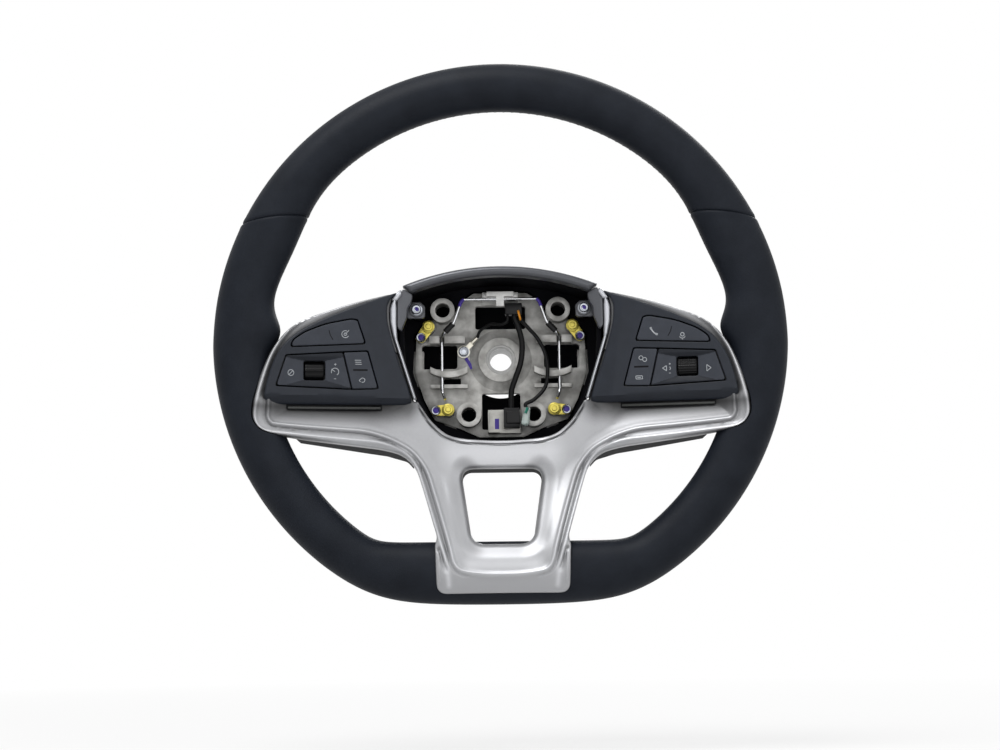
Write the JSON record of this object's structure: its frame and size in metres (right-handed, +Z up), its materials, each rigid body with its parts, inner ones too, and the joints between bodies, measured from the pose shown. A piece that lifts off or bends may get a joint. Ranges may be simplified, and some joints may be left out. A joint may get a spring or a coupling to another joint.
{
  "type": "car steering wheel",
  "caption": "Flat-bottomed leather car steering wheel with a silver three-spoke bezel, two switch modules and an open hub well, ready for its airbag.",
  "frame": {"origin": "on the column axis at the front face of the hub plate", "axes": "+Y away from the driver along the column, +X to the driver's right, +Z up the wheel"},
  "size_m": [0.3746, 0.0978, 0.3558],
  "materials": {
    "cast_alloy": "as cast",
    "sleeve_steel": "turned",
    "ring_steel": "drawn",
    "foam": "moulded",
    "leather": "fine grain",
    "silver_paint": "satin",
    "satin_trim": "satin",
    "chrome": "polished",
    "cover_black": "grained",
    "switch_plastic": "satin",
    "key_plastic": "satin",
    "roller_black": "satin",
    "board_green": "lacquered",
    "silicone": "moulded",
    "spring_steel": "drawn",
    "sleeve_black": "moulded",
    "yellow_zinc": "zinc plated",
    "marked_screw": "paint marked",
    "screw_steel": "zinc plated",
    "tinned_copper": "tinned",
    "lead_black": "extruded",
    "connector_black": "moulded",
    "clear_plastic": "translucent",
    "bracket_steel": "pressed"
  },
  "bodies": {
    "wheel": {"armature": "cast_alloy", "hub_sleeve": "sleeve_steel", "rim_ring": "ring_steel", "rim_foam": "foam", "leather_top": "leather", "leather_left": "leather", "leather_right": "leather", "spoke_bezel": "silver_paint", "upper_trim": "satin_trim", "chrome_strip_left": "chrome", "chrome_strip_right": "chrome", "rear_cover": "cover_black", "well_ledge": "cover_black", "switch_housing_left": "switch_plastic", "switch_housing_right": "switch_plastic", "switch_back_left": "cover_black", "switch_back_right": "cover_black", "switch_board_left": "board_green", "switch_board_right": "board_green", "dome_mat_left": "silicone", "dome_mat_right": "silicone", "retaining_spring": "spring_steel", "spring_sleeves": "sleeve_black", "spring_clamp": "cast_alloy", "horn_bolts": "yellow_zinc", "contact_straps": "yellow_zinc", "contact_screws": "marked_screw", "trim_screws": "screw_steel", "switch_screws": "screw_steel", "cover_screws": "screw_steel", "earth_screw": "screw_steel", "earth_terminal": "tinned_copper", "earth_lead": "lead_black", "main_connector": "connector_black", "main_lead": "lead_black", "thin_lead": "lead_black", "lower_connector": "connector_black", "clear_connector": "clear_plastic", "connector_bracket": "bracket_steel"},
    "left_upper_key": {"left_upper_key": "key_plastic"},
    "left_side_key": {"left_side_key": "key_plastic"},
    "left_roller_panel": {"left_roller_panel": "key_plastic"},
    "left_roller": {"left_roller": "roller_black"},
    "right_upper_key": {"right_upper_key": "key_plastic"},
    "right_side_key": {"right_side_key": "key_plastic"},
    "right_roller_panel": {"right_roller_panel": "key_plastic"},
    "right_roller": {"right_roller": "roller_black"}
  },
  "joints": [
    {"name": "left_upper_key_rock", "type": "hinge", "parent": "wheel", "child": "left_upper_key", "pos_m": [-0.11034, -0.05268, 0.01], "axis": [0, 0, 1], "range_deg": [-2, 2], "stiffness_Nm_per_rad": 0.05},
    {"name": "left_side_key_rock", "type": "hinge", "parent": "wheel", "child": "left_side_key", "pos_m": [-0.09213, -0.04947, -0.0122], "axis": [0.9848, 0.1736, 0], "range_deg": [-3, 3], "stiffness_Nm_per_rad": 0.05},
    {"name": "left_panel_rock", "type": "hinge", "parent": "wheel", "child": "left_roller_panel", "pos_m": [-0.12128, -0.05461, -0.01265], "axis": [0, 0, 1], "range_deg": [-2, 2], "stiffness_Nm_per_rad": 0.05},
    {"name": "right_upper_key_rock", "type": "hinge", "parent": "wheel", "child": "right_upper_key", "pos_m": [0.11034, -0.05268, 0.01], "axis": [0, 0, 1], "range_deg": [-2, 2], "stiffness_Nm_per_rad": 0.05},
    {"name": "right_side_key_rock", "type": "hinge", "parent": "wheel", "child": "right_side_key", "pos_m": [0.09213, -0.04947, -0.0122], "axis": [0.9848, -0.1736, 0], "range_deg": [-3, 3], "stiffness_Nm_per_rad": 0.05},
    {"name": "right_panel_rock", "type": "hinge", "parent": "wheel", "child": "right_roller_panel", "pos_m": [0.12128, -0.05461, -0.01265], "axis": [0, 0, 1], "range_deg": [-2, 2], "stiffness_Nm_per_rad": 0.05},
    {"name": "left_roller_tip", "type": "hinge", "parent": "wheel", "child": "left_roller", "pos_m": [-0.12166, -0.05244, -0.01265], "axis": [0.9848, 0.1736, 0], "range_deg": [-12, 12], "stiffness_Nm_per_rad": 0.02},
    {"name": "right_roller_spin", "type": "hinge", "parent": "wheel", "child": "right_roller", "pos_m": [0.12166, -0.05244, -0.01265], "axis": [0.9848, -0.1736, 0], "continuous": true}
  ]
}
